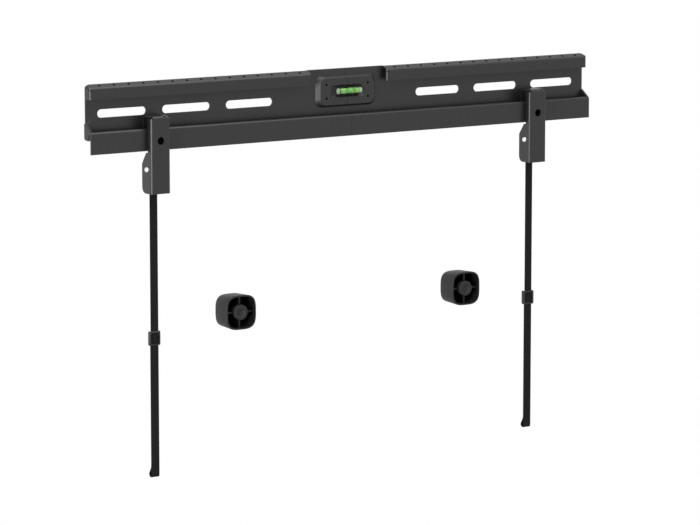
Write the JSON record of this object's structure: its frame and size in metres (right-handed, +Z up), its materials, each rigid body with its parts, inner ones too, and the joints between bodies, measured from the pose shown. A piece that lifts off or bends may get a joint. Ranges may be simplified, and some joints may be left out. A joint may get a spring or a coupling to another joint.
{
  "type": "television wall mount",
  "caption": "Folded steel wall rail for hanging a television, with sliding hooks, spring latches released by pull straps, a spirit level and loose spacer bumpers.",
  "frame": {"origin": "on the wall plane, at the middle of the rail on the line of its screw slots", "axes": "+X along the rail to the viewer's right, +Y into the wall, +Z up"},
  "size_m": [0.66, 0.027, 0.4316],
  "materials": {
    "steel_black": "black powder coat, satin",
    "level_black": "moulded, satin",
    "screw_black": "blackened steel",
    "vial_clear": "clear acrylic",
    "vial_plug": "pale plug",
    "vial_green": "green fluid",
    "latch_black": "die-cast, black coated",
    "pin_steel": "bright steel",
    "spring_steel": "spring wire",
    "strap_black": "woven nylon webbing",
    "keeper_black": "moulded, satin",
    "bumper_black": "moulded, satin",
    "foot_grey": "matt rubber"
  },
  "bodies": {
    "rail": {"wall_plate": "steel_black", "level_housing": "level_black", "level_screws": "screw_black", "vial_tube": "vial_clear", "vial_plug": "vial_plug", "vial_fluid": "vial_green", "bumper_left": "bumper_black", "bumper_right": "bumper_black", "bumper_foot_left": "foot_grey", "bumper_foot_right": "foot_grey"},
    "hook_left": {"hook_bracket_left": "steel_black", "latch_pin_left": "pin_steel", "latch_spring_left": "spring_steel"},
    "latch_left": {"latch_lever_left": "latch_black"},
    "strap_left": {"pull_strap_left": "strap_black"},
    "keeper_left": {"strap_keeper_left": "keeper_black"},
    "hook_right": {"hook_bracket_right": "steel_black", "latch_pin_right": "pin_steel", "latch_spring_right": "spring_steel"},
    "latch_right": {"latch_lever_right": "latch_black"},
    "strap_right": {"pull_strap_right": "strap_black"},
    "keeper_right": {"strap_keeper_right": "keeper_black"}
  },
  "joints": [
    {"name": "hook_slide_left", "type": "slide", "parent": "rail", "child": "hook_left", "axis": [1, 0, 0], "range_m": [-0.06, 0.07]},
    {"name": "latch_turn_left", "type": "hinge", "parent": "hook_left", "child": "latch_left", "pos_m": [-0.25, -0.0151, -0.0619], "axis": [-1, 0, 0], "range_deg": [0, 25], "stiffness_Nm_per_rad": 0.0007, "springref_deg": -49.85, "deforming": ["latch_spring_left"]},
    {"name": "strap_pull_left", "type": "slide", "parent": "hook_left", "child": "strap_left", "axis": [0, 0, -1], "range_m": [0, 0.00359]},
    {"name": "keeper_slide_left", "type": "slide", "parent": "strap_left", "child": "keeper_left", "axis": [0, 0, 1], "range_m": [-0.13, 0.14]},
    {"name": "hook_slide_right", "type": "slide", "parent": "rail", "child": "hook_right", "axis": [1, 0, 0], "range_m": [-0.07, 0.06]},
    {"name": "latch_turn_right", "type": "hinge", "parent": "hook_right", "child": "latch_right", "pos_m": [0.25, -0.0151, -0.0619], "axis": [-1, 0, 0], "range_deg": [0, 25], "stiffness_Nm_per_rad": 0.0007, "springref_deg": -49.85, "deforming": ["latch_spring_right"]},
    {"name": "strap_pull_right", "type": "slide", "parent": "hook_right", "child": "strap_right", "axis": [0, 0, -1], "range_m": [0, 0.00359]},
    {"name": "keeper_slide_right", "type": "slide", "parent": "strap_right", "child": "keeper_right", "axis": [0, 0, 1], "range_m": [-0.13, 0.14]}
  ],
  "couplings": [
    {"joint": "latch_turn_left", "follows": "strap_pull_left", "rad_per_m": 121.5},
    {"joint": "latch_turn_right", "follows": "strap_pull_right", "rad_per_m": 121.5}
  ]
}
